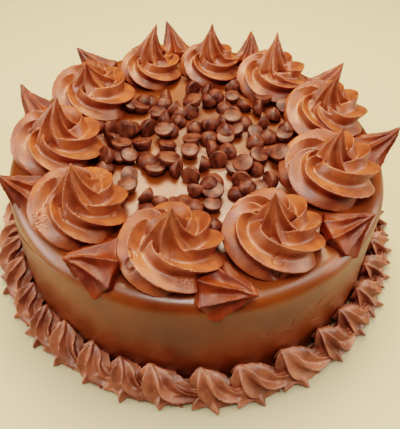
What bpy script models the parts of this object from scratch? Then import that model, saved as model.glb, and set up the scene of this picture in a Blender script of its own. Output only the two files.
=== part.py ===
"""A whole round chocolate cake: a coated body with chips on its top, a ring of piped swirls with a
piped star in each gap between two of them, and a piped shell border round the foot.

Metres, +Z up. The origin is the centre of the cake's underside, and -Y is the side the photograph shows.
"""

import math
import random

import bmesh
import bpy
from mathutils import Matrix, Vector

MM = 0.001

# Coated body
BASE_RADIUS = 105.0 * MM
SHOULDER_RADIUS = 102.6 * MM
BODY_HEIGHT = 66.0 * MM
SHOULDER_ROUND = 7.5 * MM
SHOULDER_STEPS = 4
SIDE_SLOPE_DEG = 3.0
BODY_SEGMENTS = 64

# Clearance between pieces that touch on the real cake
GAP = 0.3 * MM

# Piped swirls: (angle in degrees, distance of the centre from the axis, radius, height of the peak
# above the body's top, lean of the peak outwards, lean of the peak sideways), lengths in millimetres
SWIRLS = (
    (-98.1, 74.2, 23.4, 33.5, 0.5, -1.0),
    (-59.9, 72.8, 24.2, 34.5, 1.0, 0.5),
    (-16.3, 71.4, 24.6, 34.0, 2.5, 1.5),
    (20.4, 77.2, 22.2, 33.0, 0.5, -4.0),
    (53.7, 74.4, 20.7, 32.5, 4.0, 1.5),
    (85.1, 72.8, 18.4, 33.0, 2.0, 0.0),
    (114.3, 74.1, 18.3, 32.0, 2.0, -2.5),
    (148.5, 72.7, 21.9, 32.5, -1.0, 4.0),
    (-176.1, 74.7, 22.5, 33.0, -1.0, 3.0),
    (-138.5, 74.7, 24.0, 34.0, 0.5, -1.5),
)
SWIRL_CRESTS = 8
SWIRL_VALLEY = 0.15
# The crests turn by this much between two shares of the radius, and stand straight on the cone
SWIRL_TWIST_DEG = 105.0
TWIST_FROM_SHARE = 0.36
TWIST_TO_SHARE = 0.98
# Rows from the foot to the peak: (share of the radius, height in mm, depth share of the valleys)
RING_ROWS = (
    (0.80, 0.0, 0.7),
    (1.00, 4.5, 1.0),
    (0.98, 10.0, 1.0),
    (0.74, 15.0, 0.9),
    (0.52, 16.0, 1.0),
    (0.42, 13.5, 1.3),
)
# Cone rows: (share of the radius, share of the height between the crevice and the peak)
CONE_ROWS = (
    (0.36, 0.16),
    (0.24, 0.45),
    (0.10, 0.80),
)
CONE_DEPTH_SHARE = 1.6
CONE_BEND = 1.6
CREVICE_HEIGHT = 13.5 * MM
# The dome that keeps a star clear of a swirl: rows of (share of the radius, height in mm)
CUTTER_SIDES = 20
CUTTER_PEAK = 36.0 * MM
CUTTER_ROWS = (
    (0.45, 17.5),
    (0.78, 16.0),
    (1.0, 10.5),
    (1.0, -4.0),
)

# Piped stars: (angle of the foot, angle of the tip, distance of the tip from the axis in mm)
STARS = (
    (-80.0, -75.4, 101.0),
    (-38.5, -32.5, 101.0),
    (1.5, 3.5, 108.0),
    (37.5, 37.0, 109.0),
    (69.5, 71.5, 104.0),
    (99.8, 102.3, 107.0),
    (131.5, 136.0, 105.0),
    (165.5, 162.5, 108.0),
    (-157.5, -158.8, 104.0),
    (-118.5, -123.0, 101.5),
)
STAR_FOOT_DISTANCE = 90.0 * MM
STAR_FOOT_HEIGHT = 63.0 * MM
STAR_TIP_HEIGHT = 79.0 * MM
STAR_RADIUS = 13.0 * MM
STAR_CRESTS = 8
STAR_VALLEY = 0.34
# Rows from the buried foot to the tip: (share of the length, share of the radius)
STAR_ROWS = (
    (-0.18, 0.80),
    (0.05, 1.0),
    (0.42, 0.66),
    (0.78, 0.25),
)

# Chips on the top: turned drops of (radius, height) in millimetres, from the point to the flat side
CHIP_OUTLINE = (
    (0.0, 6.8),
    (3.2, 4.9),
    (4.9, 2.6),
    (5.3, 0.0),
    (0.0, 0.0),
)
CHIP_SIDES = 7
CHIP_SIZES = (0.86, 1.06)
# Poses: (share of the chips, least and greatest tilt in degrees): point up, flat side up, on edge
CHIP_POSES = (
    (0.38, 0.0, 25.0),
    (0.32, 150.0, 180.0),
    (0.30, 95.0, 125.0),
)
CHIP_TURN_DEG = 23.0
CHIP_SPACING = 8.8 * MM
CHIP_SWIRL_CLEARANCE = 6.4 * MM
CHIP_FIELD_RADIUS = 62.0 * MM
CHIP_COUNT = 100
CHIP_SINK = 1.2 * MM
CHIP_TRIES = 30000
# Bare spots of the glaze: (x, y, radius), in millimetres
BARE_SPOTS = (
    (5.8, 29.1, 9.0),
    (-13.2, 44.8, 7.5),
    (-36.6, 20.1, 7.0),
    (-21.0, -29.5, 9.0),
    (-11.5, -30.5, 9.0),
    (23.4, -7.8, 8.0),
    (23.0, 3.3, 6.5),
    (32.0, -23.5, 7.0),
    (-6.6, 9.0, 6.0),
    (-41.0, -21.0, 6.5),
)
SEED = 41

# Piped shell border
SHELL_COUNT = 36
SHELL_COLUMNS = 5
SHELL_TWIST_DEG = 7.0
# Weight of the second wave, which makes a hump steeper at one end
SHELL_STEEPNESS = 0.18
# Section from the inner foot over the top to the outer foot: (distance from the axis, height, both in
# mm, how far a shell's hump moves the point outwards and upwards)
SHELL_SECTION = (
    (105.35, 0.0, 0.0, 0.0),
    (105.35, 11.8, 0.0, 4.0),
    (108.6, 13.6, 0.6, 4.4),
    (113.8, 10.8, 1.6, 4.0),
    (118.2, 6.2, 2.2, 2.4),
    (121.4, 2.4, 2.6, 0.4),
    (120.6, 0.0, 2.2, 0.0),
)

COCOA_COAT = (0.150, 0.048, 0.012, 1.0)
COCOA_CREAM = (0.235, 0.070, 0.020, 1.0)
# Edges sharper than this keep a crease
CREASE_DEG = 50.0


def clear_scene():
    """Removes every object of the startup scene."""
    for obj in list(bpy.data.objects):
        bpy.data.objects.remove(obj)


def new_collection(name, helper=False):
    """Adds a collection under the scene's own."""
    collection = bpy.data.collections.new(name)
    collection.hide_render = helper
    bpy.context.scene.collection.children.link(collection)
    return collection


def principled(name, colour, roughness):
    """A plain opaque material."""
    material = bpy.data.materials.new(name)
    material.use_nodes = True
    shader = material.node_tree.nodes["Principled BSDF"]
    shader.inputs["Base Color"].default_value = colour
    shader.inputs["Roughness"].default_value = roughness
    material.diffuse_color = colour
    return material


def as_object(bm, name, collection, material=None):
    """Turns a bmesh into an object with its faces outwards."""
    bmesh.ops.recalc_face_normals(bm, faces=bm.faces)
    mesh = bpy.data.meshes.new(name)
    bm.to_mesh(mesh)
    bm.free()
    obj = bpy.data.objects.new(name, mesh)
    collection.objects.link(obj)
    if material:
        mesh.materials.append(material)
    if collection.hide_render:
        obj.hide_render = True
        obj.display_type = "WIRE"
    return obj


def revolve(profile, steps):
    """Turns a profile of (radius, height) points round Z into a closed solid.

    The profile runs from the axis at the top, down the outer side, to the axis at the foot.
    """
    points = [(radius, 0.0, height) for radius, height in profile]
    mesh = bpy.data.meshes.new("profile")
    mesh.from_pydata(points, [(i, i + 1) for i in range(len(points) - 1)], [])
    obj = bpy.data.objects.new("profile", mesh)
    bpy.context.scene.collection.objects.link(obj)
    screw = obj.modifiers.new("turn", "SCREW")
    screw.steps = steps
    screw.render_steps = steps
    screw.use_merge_vertices = True
    screw.merge_threshold = 0.00001
    graph = bpy.context.evaluated_depsgraph_get()
    turned = bpy.data.meshes.new_from_object(obj.evaluated_get(graph))
    bpy.data.objects.remove(obj)
    bm = bmesh.new()
    bm.from_mesh(turned)
    bmesh.ops.remove_doubles(bm, verts=bm.verts, dist=1e-6)
    return bm


def loft(rows):
    """Joins rings of equal length with quads and leaves both ends open."""
    bm = bmesh.new()
    rings = [[bm.verts.new(point) for point in row] for row in rows]
    count = len(rings[0])
    for low, high in zip(rings, rings[1:]):
        for i in range(count):
            j = (i + 1) % count
            bm.faces.new((low[i], low[j], high[j], high[i]))
    return bm


def close_to_point(bm, columns, tip):
    """Closes a loft with a flat face at its first ring and a fan to a point at its last."""
    bm.verts.ensure_lookup_table()
    bm.faces.new(bm.verts[:columns])
    last = bm.verts[-columns:]
    point = bm.verts.new(tip)
    for i in range(columns):
        bm.faces.new((last[i], last[(i + 1) % columns], point))


def body_profile(grow=0.0):
    """The coated body's outline from the axis at the top to the axis at the foot, moved out by grow."""
    points = [(0.0, BODY_HEIGHT + grow)]
    turn = SHOULDER_ROUND + grow
    centre_r = SHOULDER_RADIUS - SHOULDER_ROUND
    centre_z = BODY_HEIGHT - SHOULDER_ROUND
    for step in range(SHOULDER_STEPS + 1):
        angle = math.radians(90.0 - (90.0 - SIDE_SLOPE_DEG) * step / SHOULDER_STEPS)
        points.append((centre_r + turn * math.cos(angle), centre_z + turn * math.sin(angle)))
    points.append((BASE_RADIUS + grow, -grow))
    points.append((0.0, -grow))
    return points


def swirl_centre(swirl):
    """Centre of a swirl on the body's top."""
    angle = math.radians(swirl[0])
    return Vector((swirl[1] * MM * math.cos(angle), swirl[1] * MM * math.sin(angle), BODY_HEIGHT))


def swirl_rows(swirl):
    """The swirl's star sections, from the foot to just under the peak, with the peak's own point."""
    angle, _, radius, peak, lean_out, lean_side = swirl
    radius *= MM
    peak *= MM
    out = Vector((math.cos(math.radians(angle)), math.sin(math.radians(angle)), 0.0))
    side = Vector((-out.y, out.x, 0.0))
    lean = (out * lean_out + side * lean_side) * MM
    base = swirl_centre(swirl) + Vector((0.0, 0.0, GAP))
    columns = 2 * SWIRL_CRESTS
    rows = []
    listed = [(share, height * MM, depth, 0.0) for share, height, depth in RING_ROWS]
    for share, rise in CONE_ROWS:
        listed.append((share, CREVICE_HEIGHT + rise * (peak - CREVICE_HEIGHT), CONE_DEPTH_SHARE, rise))
    for share, height, depth, rise in listed:
        row = []
        twisted = max(0.0, share - TWIST_FROM_SHARE) / (TWIST_TO_SHARE - TWIST_FROM_SHARE)
        turned = math.radians(SWIRL_TWIST_DEG) * twisted
        for i in range(columns):
            valley = SWIRL_VALLEY * depth if i % 2 else 0.0
            reach = radius * share * (1.0 - valley)
            direction = 2.0 * math.pi * i / columns + turned + math.radians(angle)
            offset = Vector((reach * math.cos(direction), reach * math.sin(direction), height))
            row.append(base + offset + lean * rise ** CONE_BEND)
        rows.append(row)
    tip = base + Vector((0.0, 0.0, peak)) + lean
    return rows, tip


def add_swirl(swirl, name, collection, material):
    """One piped swirl with a flat foot and a pointed peak."""
    rows, tip = swirl_rows(swirl)
    bm = loft(rows)
    close_to_point(bm, len(rows[0]), tip)
    return as_object(bm, name, collection, material)


def add_swirl_cutter(swirl, name, collection):
    """A plain turned dome that holds a swirl and its clearance."""
    radius = (swirl[2] * MM + GAP) / math.cos(math.pi / CUTTER_SIDES)
    outline = [(0.0, CUTTER_PEAK)]
    outline += [(radius * share, height * MM) for share, height in CUTTER_ROWS]
    outline.append((0.0, CUTTER_ROWS[-1][1] * MM))
    bm = revolve(outline, CUTTER_SIDES)
    bmesh.ops.translate(bm, vec=swirl_centre(swirl), verts=bm.verts)
    return as_object(bm, name, collection)


def star_ends(star):
    """Middle of the foot and the tip of a piped star that leans out over the shoulder."""
    foot_angle, tip_angle, tip_distance = star
    foot_angle = math.radians(foot_angle)
    tip_angle = math.radians(tip_angle)
    foot = Vector(
        (
            STAR_FOOT_DISTANCE * math.cos(foot_angle),
            STAR_FOOT_DISTANCE * math.sin(foot_angle),
            STAR_FOOT_HEIGHT,
        )
    )
    tip = Vector(
        (
            tip_distance * MM * math.cos(tip_angle),
            tip_distance * MM * math.sin(tip_angle),
            STAR_TIP_HEIGHT,
        )
    )
    return foot, tip


def add_star(star, name, collection, material, cutters):
    """One piped star, cut back from the body and from the swirls beside it."""
    foot, tip = star_ends(star)
    axis = tip - foot
    length = axis.length
    turn = axis.to_track_quat("Z", "Y").to_matrix()
    columns = 2 * STAR_CRESTS
    rows = []
    for along, share in STAR_ROWS:
        row = []
        for i in range(columns):
            valley = STAR_VALLEY if i % 2 else 0.0
            reach = STAR_RADIUS * share * (1.0 - valley)
            direction = 2.0 * math.pi * (i + 0.5) / columns
            local = Vector((reach * math.cos(direction), reach * math.sin(direction), along * length))
            row.append(foot + turn @ local)
        rows.append(row)
    bm = loft(rows)
    close_to_point(bm, columns, tip)
    obj = as_object(bm, name, collection, material)
    for cutter in cutters:
        boolean(obj, "DIFFERENCE", cutter)
    keep_main_body(obj)
    return obj


def boolean(obj, operation, other):
    """Applies one exact Boolean with an object or with a collection."""
    modifier = obj.modifiers.new("join", "BOOLEAN")
    modifier.operation = operation
    modifier.solver = "EXACT"
    if isinstance(other, bpy.types.Collection):
        modifier.operand_type = "COLLECTION"
        modifier.collection = other
    else:
        modifier.object = other
    graph = bpy.context.evaluated_depsgraph_get()
    mesh = bpy.data.meshes.new_from_object(obj.evaluated_get(graph))
    obj.modifiers.clear()
    obj.data = mesh


def signed_volume(faces):
    """Volume inside a set of faces, negative where they face inwards."""
    total = 0.0
    for face in faces:
        first = face.verts[0].co
        for a, b in zip(face.verts[1:], face.verts[2:]):
            total += first.dot(a.co.cross(b.co)) / 6.0
    return total


def keep_main_body(obj):
    """Leaves the largest connected body: sealed hollows are filled and loose scraps dropped."""
    bm = bmesh.new()
    bm.from_mesh(obj.data)
    bmesh.ops.triangulate(bm, faces=bm.faces)
    bmesh.ops.remove_doubles(bm, verts=bm.verts, dist=2e-6)
    left = set(bm.faces)
    islands = []
    while left:
        stack = [left.pop()]
        island = list(stack)
        while stack:
            for edge in stack.pop().edges:
                for face in edge.link_faces:
                    if face in left:
                        left.remove(face)
                        stack.append(face)
                        island.append(face)
        islands.append(island)
    islands.sort(key=lambda faces: abs(signed_volume(faces)))
    for island in islands[:-1]:
        bmesh.ops.delete(bm, geom=island, context="FACES")
    loose = [vert for vert in bm.verts if not vert.link_faces]
    bmesh.ops.delete(bm, geom=loose, context="VERTS")
    bm.to_mesh(obj.data)
    bm.free()


def chip_places(rng):
    """Spots for the chips inside the ring of swirls, each clear of every swirl."""
    centres = [(swirl_centre(swirl), swirl[2] * MM) for swirl in SWIRLS]
    places = []
    for _ in range(CHIP_TRIES):
        if len(places) == CHIP_COUNT:
            break
        distance = CHIP_FIELD_RADIUS * math.sqrt(rng.random())
        angle = rng.uniform(0.0, 2.0 * math.pi)
        spot = Vector((distance * math.cos(angle), distance * math.sin(angle), BODY_HEIGHT))
        if any((spot - centre).length < radius + CHIP_SWIRL_CLEARANCE for centre, radius in centres):
            continue
        if any((spot - other).length < CHIP_SPACING for other in places):
            continue
        if any(math.hypot(spot.x - x * MM, spot.y - y * MM) < reach * MM for x, y, reach in BARE_SPOTS):
            continue
        places.append(spot)
    return places


def chip_tilt(rng):
    """A tilt in degrees, drawn from one of the poses."""
    pick = rng.random()
    for share, least, greatest in CHIP_POSES:
        if pick < share:
            break
        pick -= share
    return rng.uniform(least, greatest)


def add_chips(collection):
    """Chips in mixed poses, pressed into the glaze."""
    rng = random.Random(SEED)
    outline = [(radius * MM, height * MM) for radius, height in CHIP_OUTLINE]
    for number, spot in enumerate(chip_places(rng)):
        bm = revolve(outline, CHIP_SIDES)
        tilt = chip_tilt(rng)
        size = rng.uniform(*CHIP_SIZES)
        turn = Matrix.Rotation(rng.uniform(0.0, 2.0 * math.pi), 4, "Z")
        turn @= Matrix.Rotation(math.radians(tilt), 4, "Y")
        turn @= Matrix.Rotation(math.radians(CHIP_TURN_DEG), 4, "Z")
        bmesh.ops.transform(bm, matrix=turn @ Matrix.Scale(size, 4), verts=bm.verts)
        low = min(vert.co.z for vert in bm.verts)
        mean = sum((vert.co for vert in bm.verts), Vector()) / len(bm.verts)
        shift = Vector((spot.x - mean.x, spot.y - mean.y, spot.z - low - CHIP_SINK))
        bmesh.ops.translate(bm, vec=shift, verts=bm.verts)
        as_object(bm, f"chip_{number + 1:03d}", collection)


def add_border(name, collection, material):
    """The shell border: one ring whose humps sweep outwards and round."""
    columns = SHELL_COUNT * SHELL_COLUMNS
    rows = []
    for radius, height, out, up in SHELL_SECTION:
        share = (radius - SHELL_SECTION[0][0]) / (SHELL_SECTION[5][0] - SHELL_SECTION[0][0])
        shear = math.radians(SHELL_TWIST_DEG) * share
        row = []
        for i in range(columns):
            direction = 2.0 * math.pi * i / columns
            phase = (direction - shear) * SHELL_COUNT
            hump = 0.5 + 0.5 * math.cos(phase) + SHELL_STEEPNESS * math.sin(2.0 * phase)
            reach = (radius + out * hump) * MM
            row.append((reach * math.cos(direction), reach * math.sin(direction), (height + up * hump) * MM))
        rows.append(row)
    rows.append(rows[0])
    bm = loft(rows)
    bmesh.ops.remove_doubles(bm, verts=bm.verts, dist=1e-6)
    return as_object(bm, name, collection, material)


def shade_round(collection):
    """Shades every piece smooth but for its sharp edges."""
    for obj in collection.objects:
        obj.data.shade_smooth()
        obj.data.set_sharp_from_angle(angle=math.radians(CREASE_DEG))


def main():
    """Builds every piece of the cake."""
    clear_scene()
    cake_parts = new_collection("chocolate_cake")
    helpers = new_collection("helpers", helper=True)
    coat = principled("ganache", COCOA_COAT, 0.32)
    cream = principled("buttercream", COCOA_CREAM, 0.45)

    body = as_object(revolve(body_profile(), BODY_SEGMENTS), "cake", cake_parts, coat)
    chips = new_collection("chip_pieces", helper=True)
    add_chips(chips)
    boolean(body, "UNION", chips)
    for chip in list(chips.objects):
        bpy.data.objects.remove(chip)
    keep_main_body(body)

    body_cutter = as_object(revolve(body_profile(GAP), BODY_SEGMENTS), "body_cutter", helpers)
    swirl_cutters = []
    for number, swirl in enumerate(SWIRLS):
        add_swirl(swirl, f"swirl_{number + 1:02d}", cake_parts, cream)
        swirl_cutters.append(add_swirl_cutter(swirl, f"swirl_cutter_{number + 1:02d}", helpers))

    for number, star in enumerate(STARS):
        beside = (swirl_cutters[number], swirl_cutters[(number + 1) % len(SWIRLS)])
        add_star(star, f"star_{number + 1:02d}", cake_parts, cream, (body_cutter, *beside))

    add_border("shell_border", cake_parts, cream)
    shade_round(cake_parts)


if __name__ == "__main__":
    main()
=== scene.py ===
"""Looks of a whole chocolate cake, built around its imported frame.

The coated body, the chips, the piped swirls, the piped stars and the shell border each get a fine
surface and a finish. Lengths are metres unless a name ends in _mm, +Z is up and the viewer is at -Y.
"""

import logging
import math
import random
from collections.abc import Iterable
from dataclasses import dataclass
from enum import Enum
from typing import Any

import bpy
import numpy as np
from mathutils import Matrix, Vector, noise


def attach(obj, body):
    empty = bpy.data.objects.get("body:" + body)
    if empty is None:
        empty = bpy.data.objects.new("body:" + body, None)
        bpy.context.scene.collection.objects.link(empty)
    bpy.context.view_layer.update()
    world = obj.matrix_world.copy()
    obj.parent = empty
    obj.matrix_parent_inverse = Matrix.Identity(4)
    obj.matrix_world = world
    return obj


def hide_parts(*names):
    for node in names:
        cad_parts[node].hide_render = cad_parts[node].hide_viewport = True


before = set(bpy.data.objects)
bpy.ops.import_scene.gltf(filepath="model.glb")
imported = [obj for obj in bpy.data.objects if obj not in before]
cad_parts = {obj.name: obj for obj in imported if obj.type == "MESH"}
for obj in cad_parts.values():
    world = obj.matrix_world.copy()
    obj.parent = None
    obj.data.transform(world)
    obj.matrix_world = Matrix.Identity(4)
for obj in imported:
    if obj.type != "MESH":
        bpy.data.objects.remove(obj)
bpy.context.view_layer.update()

LOG = logging.getLogger("chocolate_cake")
MM = 0.001
BODY = "root"
# Height of the glaze, and how deep a swirl's foot reaches into it
TOP_MM = 66.0
SWIRL_SINK_MM = 0.8
# Sections along a swirl's ring, along its way to the middle, along its peak, and along a star
RING_ROWS = 170
INWARD_ROWS = 70
PEAK_ROWS = 130
STAR_ROWS = 120

Colour = tuple[float, float, float, float]
Face = tuple[int, ...]
Mesh = tuple[np.ndarray, list[Face]]
Places = tuple[tuple[float, float], ...]


def linear(hex_colour: str) -> Colour:
    """Turns an sRGB hex colour into linear light.

    Args:
        hex_colour: six hex digits, such as "7f4e36".

    Returns:
        Linear red, green, blue and an alpha of one.
    """
    channels = [int(hex_colour[i : i + 2], 16) / 255.0 for i in (0, 2, 4)]
    lin = [c / 12.92 if c <= 0.04045 else ((c + 0.055) / 1.055) ** 2.4 for c in channels]
    return (lin[0], lin[1], lin[2], 1.0)


def add_node(
    tree: Any, kind: str, settings: dict[str, Any] | None = None, inputs: dict[Any, Any] | None = None
) -> Any:
    """Adds a node with its settings, its input values and its links.

    Args:
        tree: node tree that gets the node.
        kind: the node's type name.
        settings: attribute name to value.
        inputs: input name or index to a value, or to an output socket that is linked to it.

    Returns:
        The new node.
    """
    node = tree.nodes.new(kind)
    for name, value in (settings or {}).items():
        setattr(node, name, value)
    for name, value in (inputs or {}).items():
        if isinstance(value, bpy.types.NodeSocket):
            tree.links.new(value, node.inputs[name])
        else:
            node.inputs[name].default_value = value
    return node


def smooth(x: np.ndarray | float) -> np.ndarray | float:
    """Returns x eased from 0 to 1 with level ends."""
    x = np.clip(x, 0.0, 1.0)
    return x * x * (3.0 - 2.0 * x)


# Part of the noise's range over which the deep tone turns into the light one
TONE_SPAN = (0.32, 0.68)
# Width of the clouds in the gloss, and the part of their noise that moves the roughness
GLOSS_CLOUD_MM = 3.0
GLOSS_SPAN = (0.3, 0.7)
# Bottom and rim of an air pit, as shares of the pits' spacing
PIT_SPAN = (0.05, 0.13)
# How far red, green and blue light pass through cocoa fat, as shares of a depth
GLOW = (1.0, 0.45, 0.25)
GLOW_MM = 1.2


@dataclass(frozen=True)
class Finish:
    """A chocolate surface: two tones that drift into each other, a fine grain and a few pits.

    The usual values are those of piped buttercream.

    Attributes:
        name: what the finish is called.
        deep: sRGB hex of the darker tone.
        light: sRGB hex of the lighter tone.
        drift_mm: width of the patches that the two tones make.
        roughness: middle roughness.
        roughness_spread: how far the roughness wanders to either side.
        grain_mm: width of one grain of the fine bump.
        grain_depth_mm: height of that grain.
        swell_mm: width of the soft swells left by the tool.
        swell_depth_mm: height of those swells.
        pit_mm: spacing of the air pits, or 0 for none.
        pit_depth_mm: depth of an air pit.
        subsurface: share of light that passes under the surface.
        specular: strength of the plain reflection.
    """

    name: str
    deep: str
    light: str
    drift_mm: float = 9.0
    roughness: float = 0.41
    roughness_spread: float = 0.07
    grain_mm: float = 0.55
    grain_depth_mm: float = 0.06
    swell_mm: float = 5.0
    swell_depth_mm: float = 0.16
    pit_mm: float = 3.2
    pit_depth_mm: float = 0.10
    subsurface: float = 0.06
    specular: float = 0.48

    def material(self) -> Any:
        """Builds the node material.

        Returns:
            The material.
        """
        made = bpy.data.materials.new(self.name)
        made.use_nodes = True
        tree = made.node_tree
        shader = tree.nodes["Principled BSDF"]
        place = add_node(tree, "ShaderNodeTexCoord").outputs["Object"]
        self._colour(tree, shader, place)
        self._gloss(tree, shader, place)
        self._relief(tree, shader, place)
        made.diffuse_color = linear(self.light)
        return made

    def _colour(self, tree: Any, shader: Any, place: Any) -> None:
        """Lets the two tones drift over the surface.

        Args:
            tree: the material's node tree.
            shader: its surface shader.
            place: socket with the place on the object.
        """
        drift = add_node(
            tree,
            "ShaderNodeTexNoise",
            inputs={"Vector": place, "Scale": 1.0 / (self.drift_mm * MM), "Detail": 3.0, "Roughness": 0.55},
        )
        spread = add_node(
            tree,
            "ShaderNodeMapRange",
            {"interpolation_type": "SMOOTHSTEP"},
            {"Value": drift.outputs["Fac"], "From Min": TONE_SPAN[0], "From Max": TONE_SPAN[1]},
        )
        tones = {0: spread.outputs[0], 6: linear(self.deep), 7: linear(self.light)}
        tone = add_node(tree, "ShaderNodeMix", {"data_type": "RGBA"}, tones)
        tree.links.new(tone.outputs[2], shader.inputs["Base Color"])

    def _gloss(self, tree: Any, shader: Any, place: Any) -> None:
        """Sets the gloss, whose roughness wanders a little, and the glow under the surface.

        Args:
            tree: the material's node tree.
            shader: its surface shader.
            place: socket with the place on the object.
        """
        cloud = add_node(
            tree,
            "ShaderNodeTexNoise",
            inputs={"Vector": place, "Scale": 1.0 / (GLOSS_CLOUD_MM * MM), "Detail": 4.0, "Roughness": 0.6},
        )
        rough = add_node(
            tree,
            "ShaderNodeMapRange",
            inputs={
                "Value": cloud.outputs["Fac"],
                "From Min": GLOSS_SPAN[0],
                "From Max": GLOSS_SPAN[1],
                "To Min": self.roughness - self.roughness_spread,
                "To Max": self.roughness + self.roughness_spread,
            },
        )
        tree.links.new(rough.outputs[0], shader.inputs["Roughness"])
        shader.inputs["Specular IOR Level"].default_value = self.specular
        shader.inputs["Subsurface Weight"].default_value = self.subsurface
        shader.inputs["Subsurface Radius"].default_value = GLOW
        shader.inputs["Subsurface Scale"].default_value = GLOW_MM * MM

    def _relief(self, tree: Any, shader: Any, place: Any) -> None:
        """Adds the tool's soft swells, the fine grain and the air pits.

        Args:
            tree: the material's node tree.
            shader: its surface shader.
            place: socket with the place on the object.
        """
        swell = (self.swell_mm, self.swell_depth_mm, 2.0, 0.5)
        grain = (self.grain_mm, self.grain_depth_mm, 3.0, 0.6)
        layers = []
        for width_mm, depth_mm, detail, rough in (swell, grain):
            inputs = {"Vector": place, "Scale": 1.0 / (width_mm * MM), "Detail": detail, "Roughness": rough}
            layers.append((add_node(tree, "ShaderNodeTexNoise", inputs=inputs).outputs["Fac"], depth_mm))
        if self.pit_mm:
            cells = add_node(
                tree,
                "ShaderNodeTexVoronoi",
                inputs={"Vector": place, "Scale": 1.0 / (self.pit_mm * MM), "Randomness": 1.0},
            )
            pit = add_node(
                tree,
                "ShaderNodeMapRange",
                {"interpolation_type": "SMOOTHSTEP"},
                {"Value": cells.outputs["Distance"], "From Min": PIT_SPAN[0], "From Max": PIT_SPAN[1]},
            )
            layers.append((pit.outputs[0], self.pit_depth_mm))
        below: dict[str, Any] = {}
        for height, depth_mm in layers:
            inputs = {"Height": height, "Distance": depth_mm * MM, "Strength": 1.0, **below}
            below = {"Normal": add_node(tree, "ShaderNodeBump", inputs=inputs).outputs["Normal"]}
        tree.links.new(below["Normal"], shader.inputs["Normal"])


# Poured ganache, smoothed with a warm scraper and set: satin gloss that mirrors light in soft bands
GANACHE = Finish(
    name="poured_ganache",
    deep="552506",
    light="6f350d",
    drift_mm=38.0,
    roughness=0.34,
    roughness_spread=0.03,
    grain_mm=0.9,
    grain_depth_mm=0.010,
    swell_mm=16.0,
    swell_depth_mm=0.25,
    pit_mm=0.0,
    pit_depth_mm=0.0,
    subsurface=0.05,
    specular=0.54,
)

# Whipped chocolate buttercream pressed through a star tip: satin, with fine air pits and drag marks
BUTTERCREAM = Finish(name="piped_buttercream", deep="6b321a", light="8b4828")

# The same buttercream on the stars, less shiny; its tones are painted darker and redder for the shade on
# their faces, which look away from the light
SHADED_STAR_CREAM = Finish(
    name="star_buttercream_painted_shade", deep="4e1a04", light="6e2d0b", roughness=0.46, specular=0.32
)

# The same buttercream at the foot, stiffer and with a smoother grain and a mauve cast; its tones are painted
# paler for the light bounced up onto the foot
LIT_BORDER_CREAM = Finish(
    name="border_buttercream_painted_light",
    deep="6b3b27",
    light="985b42",
    drift_mm=12.0,
    roughness=0.44,
    roughness_spread=0.06,
    grain_mm=0.6,
    grain_depth_mm=0.03,
    swell_mm=6.0,
    swell_depth_mm=0.10,
    pit_mm=4.0,
    pit_depth_mm=0.12,
    specular=0.5,
)

# Moulded dark chocolate drops: matt where the fat has bloomed, with a scuffed skin
CHIP_CHOCOLATE = Finish(
    name="dark_chocolate_drop",
    deep="35150b",
    light="643625",
    drift_mm=4.5,
    roughness=0.42,
    roughness_spread=0.10,
    grain_mm=0.5,
    grain_depth_mm=0.03,
    swell_mm=2.5,
    swell_depth_mm=0.06,
    pit_mm=1.8,
    pit_depth_mm=0.05,
    subsurface=0.05,
    specular=0.22,
)

# A pale matt board under studio light
STAGE_HEX = "a29679"


def piece_from(name: str, points: np.ndarray, faces: list[Face]) -> Any:
    """Makes a mesh object at the origin.

    Args:
        name: the piece's name.
        points: array of positions.
        faces: corner numbers of each face.

    Returns:
        The new object.
    """
    mesh = bpy.data.meshes.new(name)
    mesh.from_pydata(points.tolist(), [], faces)
    mesh.update()
    obj = bpy.data.objects.new(name, mesh)
    bpy.context.scene.collection.objects.link(obj)
    return obj


def settle(obj: Any) -> None:
    """Applies an object's modifiers to its mesh.

    Args:
        obj: the object.
    """
    graph = bpy.context.evaluated_depsgraph_get()
    mesh = bpy.data.meshes.new_from_object(obj.evaluated_get(graph))
    mesh.name = obj.name
    old = obj.data
    obj.modifiers.clear()
    obj.data = mesh
    bpy.data.meshes.remove(old)


def skin(obj: Any, voxel_mm: float) -> None:
    """Fuses overlapping ropes of icing into one closed skin.

    Args:
        obj: the piece.
        voxel_mm: size of a voxel, whose steps one round of smoothing takes away.
    """
    fuse = obj.modifiers.new("fuse", "REMESH")
    fuse.mode = "VOXEL"
    fuse.voxel_size = voxel_mm * MM
    fuse.use_smooth_shade = True
    soften = obj.modifiers.new("soften", "SMOOTH")
    soften.factor = 0.5
    soften.iterations = 1
    settle(obj)


def dress(obj: Any, material: Any, slot: str, *nodes: str) -> Any:
    """Gives a piece its finish and its place in the frame.

    Args:
        obj: the piece.
        material: its finish.
        slot: the record's material slot; not used.
        nodes: CAD nodes that the piece stands for.

    Returns:
        The same object.
    """
    obj.data.materials.clear()
    obj.data.materials.append(material)
    obj.data.shade_smooth()
    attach(obj, BODY)
    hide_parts(*nodes)
    LOG.info("%s: %d faces", obj.name, len(obj.data.polygons))
    return obj


def tube_faces(rows: int, columns: int) -> list[Face]:
    """Lists the faces of a closed tube.

    Args:
        rows: sections along it.
        columns: points round each section.

    Returns:
        The quads of its side and the fans of its ends, whose middles are the last two points.
    """
    n = columns
    made: list[Face] = []
    for i in range(rows - 1):
        for j in range(n):
            k = (j + 1) % n
            made.append((i * n + j, i * n + k, (i + 1) * n + k, (i + 1) * n + j))
    first = rows * n
    last = first - n
    for j in range(n):
        k = (j + 1) % n
        made.append((first, k, j))
        made.append((first + 1, last + j, last + k))
    return made


def eased_path(points: np.ndarray, rounds: int) -> np.ndarray:
    """Eases the corners of a path.

    Args:
        points: its points, a row each.
        rounds: how often each point moves towards its neighbours.

    Returns:
        The eased points.
    """
    for _ in range(rounds):
        inner = (points[:-2] + 2.0 * points[1:-1] + points[2:]) / 4.0
        points = np.vstack([points[:1], inner, points[-1:]])
    return points


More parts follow.
